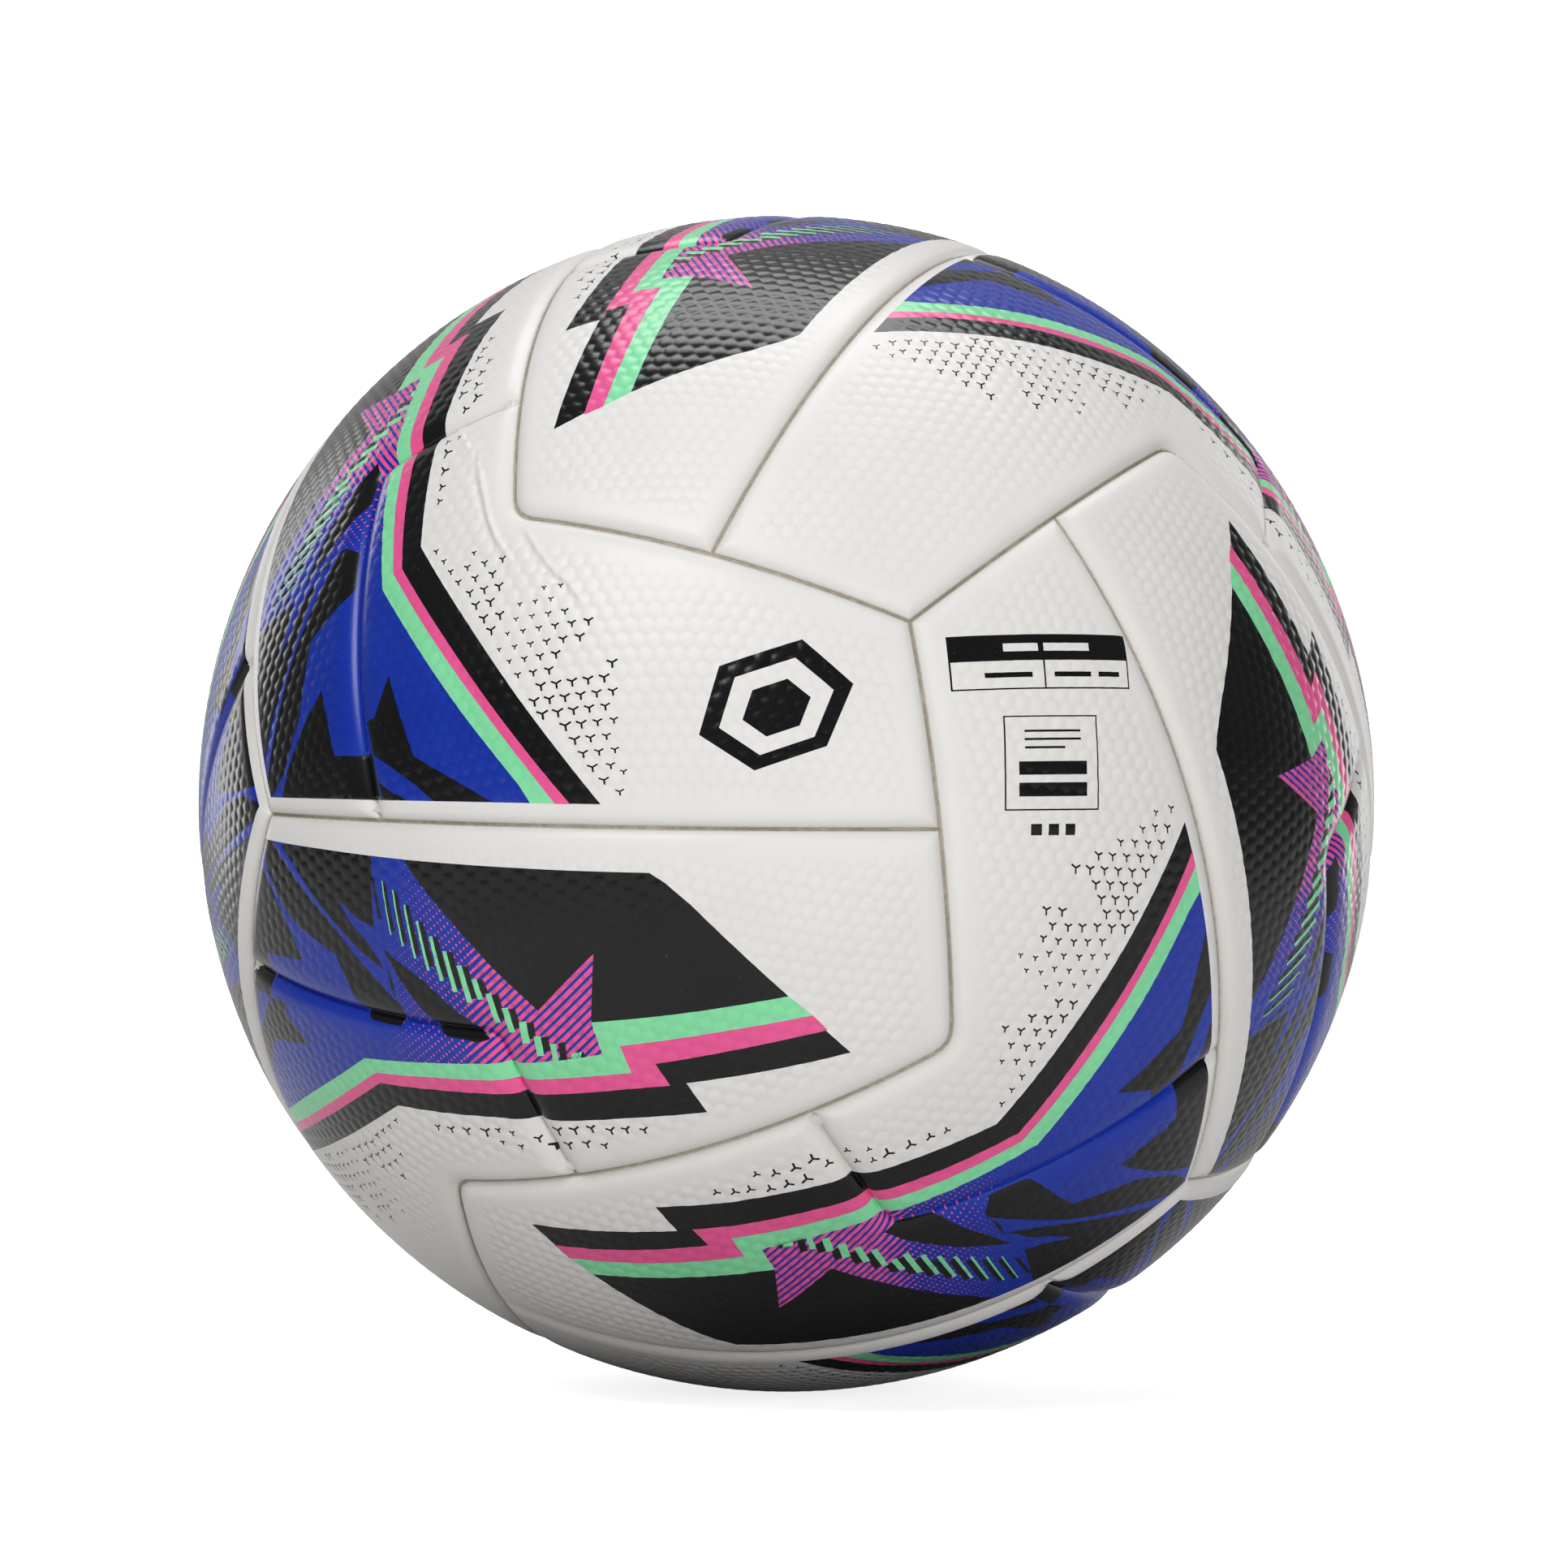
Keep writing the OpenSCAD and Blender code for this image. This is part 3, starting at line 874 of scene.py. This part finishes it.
SHADER_INPUTS = {
    "color": "Base Color", "rough": "Roughness", "spec": "Specular IOR Level",
    "coat": "Coat Weight", "coat_rough": "Coat Roughness", "normal": "Normal",
    "sheen": "Sheen Weight", "sheen_rough": "Sheen Roughness"}


class Mat:
    """small helper that builds a node material"""

    def __init__(self, name):
        self.material = bpy.data.materials.new(name)
        self.material.use_nodes = True
        self.tree = self.material.node_tree
        self.tree.nodes.clear()
        self.out = self.node("OutputMaterial")
        self.shader = self.node("BsdfPrincipled")
        self.put(self.out.inputs[0], self.shader.outputs[0])

    def node(self, kind):
        return self.tree.nodes.new("ShaderNode" + kind)

    def put(self, socket, value):
        if hasattr(value, "is_output"):
            self.tree.links.new(value, socket)
        else:
            socket.default_value = value

    def set(self, **values):
        for key, value in values.items():
            self.put(self.shader.inputs[SHADER_INPUTS[key]], value)

    def math(self, operation, first, second=0.0):
        node = self.node("Math")
        node.operation = operation
        for k, value in enumerate((first, second, 0.0)):
            self.put(node.inputs[k], value)
        return node.outputs[0]

    def add(self, first, second):
        return self.math("ADD", first, second)

    def sub(self, first, second):
        return self.math("SUBTRACT", first, second)

    def mul(self, first, second):
        return self.math("MULTIPLY", first, second)

    def ramp(self, value, over, to=(0.0, 1.0)):
        """smooth step over one range to another"""
        node = self.node("MapRange")
        node.interpolation_type = "SMOOTHSTEP"
        for k, item in enumerate((value, *over, *to)):
            self.put(node.inputs[k], item)
        return node.outputs[0]

    def mix(self, amount, first, second):
        node = self.node("Mix")
        node.data_type = "RGBA"
        self.put(node.inputs[0], amount)
        self.put(node.inputs[6], first)
        self.put(node.inputs[7], second)
        return node.outputs[2]

    def attr(self, name):
        node = self.node("Attribute")
        node.attribute_name = name
        return node.outputs["Fac"]

    def uv(self, name):
        node = self.node("UVMap")
        node.uv_map = name
        return node.outputs[0]

    def obj(self):
        return self.node("TexCoord").outputs["Object"]

    def camera_ray(self):
        return self.node("LightPath").outputs["Is Camera Ray"]

    def xyz(self, vector):
        node = self.node("SeparateXYZ")
        self.put(node.inputs[0], vector)
        return node.outputs

    def noise(self, vector, scale, detail=3.0, rough=0.55):
        node = self.node("TexNoise")
        self.put(node.inputs["Vector"], vector)
        node.inputs["Scale"].default_value = scale
        node.inputs["Detail"].default_value = detail
        node.inputs["Roughness"].default_value = rough
        return node.outputs[0]

    def voronoi(self, vector, scale):
        node = self.node("TexVoronoi")
        node.feature = "F1"
        self.put(node.inputs["Vector"], vector)
        node.inputs["Scale"].default_value = scale
        return node.outputs["Distance"]

    def bump(self, height, depth, strength=1.0, normal=None):
        node = self.node("Bump")
        node.inputs["Strength"].default_value = strength
        node.inputs["Distance"].default_value = depth
        self.put(node.inputs["Height"], height)
        if normal is not None:
            self.put(node.inputs["Normal"], normal)
        return node.outputs[0]


def dome_field(m):
    """0 in the valleys between the embossed domes, 1 at their crowns, on the mesh's lattice"""
    place = m.xyz(m.uv("mm"))
    rate = 4 * math.pi / (math.sqrt(3) * DOME)
    total = None
    for turn in (-30, 30, 90):
        angle = math.radians(DOME_DEG + turn)
        wave = m.math("COSINE", m.add(m.mul(place[0], rate * math.cos(angle)),
                                      m.mul(place[1], rate * math.sin(angle))))
        total = wave if total is None else m.add(total, wave)
    return m.math("DIVIDE", m.add(total, 1.5), 4.5)


def hatch(m, blue):
    """slanted pink lines that thin out into dashes and dots over the blue"""
    slant = math.radians(29.6)
    line_pitch, dash_pitch = 1.24, 0.9
    place = m.xyz(m.uv("print"))
    x, y = place[0], place[1]
    across = m.add(m.mul(x, -math.sin(slant)), m.mul(y, math.cos(slant)))
    along_line = m.add(m.mul(x, math.cos(slant)), m.mul(y, math.sin(slant)))
    # mm from the slanting left edge of the hatching
    depth = m.add(x, m.mul(m.add(y, 46.5), -0.34))
    lines = m.math("COSINE", m.mul(across, 2 * math.pi / line_pitch))
    dashes = m.math("COSINE", m.mul(along_line, 2 * math.pi / dash_pitch))
    dash_part = m.ramp(depth, over=(3.0, 12.0), to=(0.0, 0.5))
    pattern = m.add(m.mul(lines, 0.5), m.mul(dashes, dash_part))
    threshold = m.add(m.ramp(depth, over=(0.0, 12.0), to=(-0.15, 0.70)),
                      m.ramp(depth, over=(11.0, 26.0), to=(0.0, 0.28)))
    inked = m.ramp(m.sub(pattern, threshold), over=(-0.05, 0.05))
    inked = m.mul(inked, m.ramp(depth, over=(22.0, 26.0), to=(1.0, 0.0)))
    return m.mix(inked, blue, linear(236, 90, 152))


def skin_parts(name):
    """material with the textures that every part of the cover shares"""
    m = Mat(name)
    m.place = m.uv("mm")
    m.seam = m.attr("inset")
    m.press = m.attr("press")
    m.cloud = m.noise(m.place, scale=0.055)
    m.fine = m.noise(m.place, scale=3.2, detail=4.0, rough=0.6)
    m.grain = m.voronoi(m.place, scale=2.4)
    # the embossing dies away at the seams and at the pressed groove
    fade = m.mul(m.ramp(m.seam, over=SEAM_FADE), m.ramp(m.press, over=PRESS_FADE))
    dome = dome_field(m)
    # mask for the painted shade in the valleys between the domes
    m.valley = m.mul(m.ramp(dome, over=(0.0, 0.34), to=(1.0, 0.0)), fade)
    crown = m.mul(m.sub(1.0, m.math("POWER", m.sub(1.0, dome), 3.0)), fade)
    m.relief = m.bump(crown, depth=0.00006)
    return m


def white_skin(name, rgb):
    """cast polyurethane: fine grain, soft gloss, painted shade with some edge dirt beside the
    seams, and painted shade in the pressed groove and between the domes
    """
    m = skin_parts(name)
    color = m.mix(m.ramp(m.cloud, over=(0.42, 0.72), to=(0.0, 0.5)),
                  linear(*rgb), shifted(rgb, -5, -6, -8))
    # painted shade with some edge dirt: greyer and darker on the shoulders that drop into the
    # seams
    seam_shade_and_dirt = m.ramp(m.seam, over=(0.35, 2.2), to=(0.20, 0.0))
    color = m.mix(seam_shade_and_dirt, color, linear(190, 183, 171))
    # painted shade: darker down into the pressed groove
    press_shade = m.ramp(m.press, over=(0.1, 2.0), to=(0.22, 0.0))
    color = m.mix(press_shade, color, linear(196, 186, 170))
    # glue creeps unevenly on to the edge
    ragged = m.add(m.seam, m.mul(m.noise(m.place, scale=0.9, detail=2.0), 0.22))
    glue = m.ramp(ragged, over=(0.36, 0.52), to=(0.6, 0.0))
    color = m.mix(glue, color, linear(170, 162, 148))
    # painted shade in the valleys between the domes
    color = m.mix(m.mul(m.valley, 0.3), color, shifted(rgb, -13, -14, -16))
    height = m.add(m.mul(m.fine, 0.6), m.mul(m.grain, 0.4))
    m.set(color=color, rough=m.add(m.mul(m.fine, 0.10), 0.34), spec=0.42,
          coat=0.10, coat_rough=0.3,
          normal=m.bump(height, depth=0.00002, strength=0.55, normal=m.relief))
    return m.material


def ink_skin(name, rgb, valley, rough=0.2, dusty=False, hatched=False):
    """the same skin under one ink, with painted shade of a given strength in the valleys between
    domes
    """
    m = skin_parts(name)
    color = m.mix(m.ramp(m.cloud, over=(0.35, 0.7), to=(0.0, 0.6)),
                  linear(*rgb), linear(*[min(255, c + 10) for c in rgb]))
    if hatched:
        color = hatch(m, color)
    if dusty:
        # pale dust caught on the dark ink
        speck = m.math("GREATER_THAN", m.noise(m.place, scale=1.9, detail=2.0, rough=0.4), 0.735)
        color = m.mix(m.mul(speck, 0.16), color, linear(150, 150, 150))
    # painted shade in the valleys between the domes
    color = m.mix(m.mul(m.valley, valley), color, linear(*[int(c * 0.8) for c in rgb]))
    height = m.add(m.mul(m.fine, 0.7), m.mul(m.grain, 0.3))
    m.set(color=color, rough=m.add(m.mul(m.fine, 0.12), rough), spec=0.42,
          coat=0.08, coat_rough=0.2,
          normal=m.bump(height, depth=0.000016, strength=0.5, normal=m.relief))
    return m.material


def glue_mat():
    m = Mat("seam_glue")
    place = m.obj()
    fine = m.noise(place, scale=900.0, detail=4.0, rough=0.6)
    broad = m.noise(place, scale=60.0, detail=2.0)
    color = m.mix(m.ramp(fine, over=(0.35, 0.7)), linear(166, 158, 144), linear(196, 189, 175))
    color = m.mix(m.ramp(broad, over=(0.4, 0.7), to=(0.0, 0.5)), color, linear(142, 133, 117))
    m.set(color=color, rough=m.add(m.mul(fine, 0.25), 0.45), spec=0.35,
          normal=m.bump(fine, depth=0.00012, strength=0.7))
    return m.material


def foam_mat():
    m = Mat("closed_cell_foam")
    place = m.obj()
    bubbles = m.voronoi(place, scale=1500.0)
    cloud = m.noise(place, scale=220.0)
    color = m.mix(m.ramp(bubbles, over=(0.1, 0.7)), linear(214, 206, 182), linear(243, 238, 221))
    color = m.mix(m.ramp(cloud, over=(0.4, 0.7), to=(0.0, 0.35)), color, linear(226, 214, 184))
    m.set(color=color, rough=0.85, spec=0.25,
          normal=m.bump(bubbles, depth=0.0003, strength=0.8))
    return m.material


def rubber_mat(name, rgb, rough, scale, depth):
    """rubber with pale talc in broad patches and fine dark mottling"""
    m = Mat(name)
    place = m.obj()
    fine = m.noise(place, scale=scale, detail=5.0, rough=0.6)
    talc = m.noise(place, scale=scale * 0.12)
    color = m.mix(m.ramp(talc, over=(0.45, 0.75), to=(0.0, 0.45)),
                  linear(*rgb), linear(*[min(255, c + 26) for c in rgb]))
    color = m.mix(m.ramp(fine, over=(0.6, 0.8), to=(0.0, 0.3)),
                  color, linear(*[max(0, c - 14) for c in rgb]))
    m.set(color=color, rough=m.add(m.mul(fine, 0.2), rough), spec=0.4,
          normal=m.bump(fine, depth=depth, strength=0.8))
    return m.material


def wound_fabric_mat():
    """polyester thread laid in crossing directions over the bladder"""
    m = Mat("wound_polyester")
    thread_rate = 7200.0        # radians per metre across the threads
    place = m.obj()
    axes = m.xyz(place)
    thread1 = m.math("SINE", m.mul(m.add(axes[0], m.mul(axes[2], 0.7)), thread_rate))
    thread2 = m.math("SINE", m.mul(m.sub(axes[1], m.mul(axes[2], 0.6)), thread_rate))
    over = m.math("GREATER_THAN", m.noise(place, scale=150.0, detail=1.0), 0.5)
    height = m.add(m.mul(thread1, over), m.mul(thread2, m.sub(1.0, over)))
    stain = m.noise(place, scale=400.0)
    color = m.mix(m.ramp(height, over=(-0.8, 0.8)), linear(176, 168, 150), linear(226, 220, 206))
    color = m.mix(m.ramp(stain, over=(0.5, 0.8), to=(0.0, 0.4)), color, linear(150, 140, 120))
    m.set(color=color, rough=0.7, spec=0.3, sheen=0.2, sheen_rough=0.5,
          normal=m.bump(height, depth=0.0002, strength=0.8))
    return m.material


# INKS gives the material slot of each ink
INKS = ["white", "black", "pink", "green", "blue"]
COVER_MATS = [
    white_skin("cover_white_pu", (235, 233, 231)),
    ink_skin("cover_black_ink", (13, 14, 16), valley=0.3, rough=0.17, dusty=True),
    ink_skin("cover_pink_ink", (238, 88, 152), valley=0.12),
    ink_skin("cover_mint_ink", (134, 226, 168), valley=0.12),
    ink_skin("cover_blue_ink", (16, 48, 164), valley=0.3, dusty=True, hatched=True)]
GLUE = glue_mat()
FOAM = foam_mat()
CARCASS = rubber_mat("carcass_rubber", (58, 55, 52), rough=0.55, scale=420.0, depth=0.0001)
FABRIC = wound_fabric_mat()
BLADDER = rubber_mat("butyl_bladder", (36, 36, 39), rough=0.42, scale=260.0, depth=0.00008)
PATCH = rubber_mat("valve_patch_rubber", (50, 50, 54), rough=0.55, scale=600.0, depth=0.00012)
HOUSING = rubber_mat("valve_neck_rubber", (74, 74, 77), rough=0.48, scale=900.0, depth=0.00006)
CORE = rubber_mat("valve_core_rubber", (30, 30, 33), rough=0.38, scale=1100.0, depth=0.00005)


def repaint(node, mat):
    """gives a CAD piece its material"""
    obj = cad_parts[node]
    obj.data.materials.clear()
    obj.data.materials.append(mat)


def stand_in(obj, node, mat):
    """puts a detailed piece in the place of a CAD piece"""
    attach(obj, "root")
    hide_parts(node)
    repaint(node, mat)


# ---------------------------------------------------------------------------
# the cover and the layers under it
# ---------------------------------------------------------------------------
for i in range(12):
    stand_in(cover_panel(i, COVER_MATS), "cover_panel_%02d" % (i + 1), COVER_MATS[0])
    repaint("foam_pad_%02d" % (i + 1), FOAM)

repaint("seam_adhesive", GLUE)
repaint("carcass_rubber", CARCASS)
repaint("carcass_fabric", FABRIC)
repaint("bladder", BLADDER)
repaint("valve_patch", PATCH)


# ---------------------------------------------------------------------------
# the valve: turned profiles with rounded edges
# ---------------------------------------------------------------------------
def lathe(name, profile, mat, count=96):
    """closed (radius, y) profile turned about the Y axis"""
    angles = [2 * math.pi * k / count for k in range(count)]
    verts = np.array([(radius * math.cos(a), y, radius * math.sin(a))
                      for radius, y in profile for a in angles]) * MM
    faces = []
    for i in range(len(profile)):
        ring1, ring2 = i * count, (i + 1) % len(profile) * count
        for k in range(count):
            k2 = (k + 1) % count
            faces.append((ring1 + k, ring2 + k, ring2 + k2))
            faces.append((ring1 + k, ring2 + k2, ring1 + k2))
    faces = np.array(faces)
    corner1, corner2, corner3 = (verts[faces[:, k]] for k in range(3))
    # a negative volume means the faces look inwards
    if (corner1 * np.cross(corner2, corner3)).sum() < 0:
        faces = faces[:, ::-1]
    return build(name, verts, faces, [mat])


def soft(points, size, steps=4):
    """rounds the corners of a closed profile"""
    out = []
    for i, corner in enumerate(points):
        corner = np.array(corner, float)
        before = np.array(points[i - 1], float) - corner
        after = np.array(points[(i + 1) % len(points)], float) - corner
        len1, len2 = np.linalg.norm(before), np.linalg.norm(after)
        cut = min(size, len1 * 0.4, len2 * 0.4)
        start, end = corner + before / len1 * cut, corner + after / len2 * cut
        for t in np.linspace(0, 1, steps + 1):
            out.append(tuple((1 - t) ** 2 * start + 2 * t * (1 - t) * corner + t * t * end))
    return out


TOP = BALL_R - 0.5           # outer end of the valve
SEAT = TOP - 15.0            # inner end of the cavity for the plug
NECK_R = 6.0
FLANGE_R = 15.0
FLANGE_OUT, FLANGE_IN = 95.2, 94.0      # radii from the ball's centre to the flange faces
MOUTH_R, MOUTH_DEPTH = 3.7, 1.4         # wide recess at the outer end
CAVITY_R = 2.5
BORE_R = 1.25                # hole through the inner end
PLAY = 0.02                  # between the plug and the neck
PLUG_BORE_R = 0.95

flange_radii = [NECK_R + (FLANGE_R - NECK_R) * t for t in np.linspace(0, 1, 7)]
neck = ([(MOUTH_R, TOP), (NECK_R, TOP)]
        + [(r, math.sqrt(FLANGE_OUT ** 2 - r * r)) for r in flange_radii]
        + [(r, math.sqrt(FLANGE_IN ** 2 - r * r)) for r in flange_radii[::-1]]
        + [(NECK_R, SEAT - 3), (BORE_R, SEAT - 3), (BORE_R, SEAT), (CAVITY_R, SEAT),
           (CAVITY_R, TOP - MOUTH_DEPTH), (MOUTH_R, TOP - MOUTH_DEPTH)])
stand_in(lathe("valve_neck", soft(neck, 0.3), HOUSING), "valve_housing", HOUSING)

plug = [(PLUG_BORE_R, TOP - 2.2), (1.7, TOP - PLAY), (MOUTH_R - PLAY, TOP),
        (MOUTH_R - PLAY, TOP - MOUTH_DEPTH + PLAY), (CAVITY_R - PLAY, TOP - MOUTH_DEPTH - PLAY),
        (CAVITY_R - PLAY, SEAT + PLAY), (PLUG_BORE_R, SEAT + PLAY)]
stand_in(lathe("valve_plug", soft(plug, 0.22), CORE), "valve_core", CORE)


# ---------------------------------------------------------------------------
# floor, lights, world and camera, in metres
# ---------------------------------------------------------------------------
def paper_mat():
    """white to the camera with a soft shadow; to other rays darker close to the ball, a painted
    contact shade
    """
    m = Mat("studio_paper")
    cloud = m.noise(m.obj(), scale=3.0, detail=2.0)
    seen = m.camera_ray()
    pale = m.mix(m.ramp(cloud, over=(0.3, 0.8)), linear(252, 252, 252), linear(249, 249, 249))
    place = m.xyz(m.obj())
    away = m.math("SQRT", m.add(m.mul(place[0], place[0]), m.mul(place[1], place[1])))
    # painted shade: to bounced light the paper is dark close to the ball, like a contact shadow
    painted_contact_shade = m.mix(m.ramp(away, over=(0.03, 0.10)), linear(105, 105, 105), linear(220, 219, 217))
    m.set(color=m.mix(seen, painted_contact_shade, pale), rough=0.8, spec=0.1)
    glow = m.node("Emission")
    glow.inputs[0].default_value = (1, 1, 1, 1)
    m.put(glow.inputs[1], m.mul(m.camera_ray(), 0.80))
    both = m.node("AddShader")
    m.put(both.inputs[0], m.shader.outputs[0])
    m.put(both.inputs[1], glow.outputs[0])
    m.put(m.out.inputs[0], both.outputs[0])
    return m.material


def backdrop():
    """pale floor that curves up into a wall behind the ball"""
    front, bend_start, bend_r, top = -3.0, 1.2, 0.9, 4.0
    half_width = 5.0
    floor = -BALL_R * MM
    profile = [(front, floor), (bend_start, floor)]
    for deg in np.linspace(0, 90, 19)[1:]:
        profile.append((bend_start + bend_r * sind(deg), floor + bend_r * (1 - cosd(deg))))
    profile.append((bend_start + bend_r, top))
    verts = np.array([(x, y, z) for y, z in profile for x in (-half_width, half_width)])
    faces = []
    for k in range(0, 2 * len(profile) - 2, 2):
        faces += [(k, k + 1, k + 3), (k, k + 3, k + 2)]
    build("studio_floor", verts, np.array(faces), [paper_mat()])


def area(name, at, size, watts, target=(0, 0, 0)):
    """rectangular lamp turned to its target"""
    light = bpy.data.lights.new(name, "AREA")
    light.shape = "RECTANGLE"
    light.size, light.size_y = size
    light.energy = watts
    obj = bpy.data.objects.new(name, light)
    obj.location = at
    obj.rotation_euler = (Vector(target) - Vector(at)).to_track_quat("-Z", "Y").to_euler()
    bpy.context.scene.collection.objects.link(obj)
    return obj


def surroundings():
    """white world, dim for the light it gives and pale to the camera past the paper"""
    dim, extra_seen = 0.12, 0.85
    world = bpy.data.worlds.new("studio")
    bpy.context.scene.world = world
    world.use_nodes = True
    tree = world.node_tree
    background = tree.nodes["Background"]
    background.inputs[0].default_value = (1, 1, 1, 1)
    seen = tree.nodes.new("ShaderNodeLightPath").outputs["Is Camera Ray"]
    gain = tree.nodes.new("ShaderNodeMath")
    gain.operation = "MULTIPLY_ADD"
    tree.links.new(seen, gain.inputs[0])
    gain.inputs[1].default_value = extra_seen
    gain.inputs[2].default_value = dim
    tree.links.new(gain.outputs[0], background.inputs[1])


def camera():
    """long lens in front of the ball, looking along +Y"""
    lens = bpy.data.cameras.new("camera")
    lens.sensor_width = 36.0
    lens.lens = 138.4
    lens.shift_x = -0.00163043478
    lens.shift_y = 0.01252587992
    lens.clip_start, lens.clip_end = 0.05, 30.0
    obj = bpy.data.objects.new("camera", lens)
    obj.location = (0, -1.0661, 0)
    obj.rotation_euler = (math.radians(90), 0, 0)
    bpy.context.scene.collection.objects.link(obj)
    bpy.context.scene.camera = obj


backdrop()
area("key", at=(-0.72, -1.2, 1.28), size=(0.9, 0.8), watts=14.5)
# the front light only fills; it leaves no mirror image in the glossy ink
front_fill = area("front_fill", at=(0.5, -1.65, 0.1), size=(0.8, 0.7), watts=14.5)
front_fill.visible_glossy = False
area("top", at=(0.05, 0.3, 1.2), size=(1.0, 0.5), watts=6.5)
area("left_strip", at=(-0.82, 0.85, 0.2), size=(0.3, 0.9), watts=2.0)
area("right_strip", at=(0.75, 0.95, 0.1), size=(0.2, 1.0), watts=2.0)
area("back_wash", at=(0.0, 1.2, 1.2), size=(2.6, 0.6), watts=8.0, target=(0, 2.1, -0.1))
surroundings()
bpy.context.scene.view_settings.view_transform = "Standard"
bpy.context.scene.view_settings.look = "None"
camera()
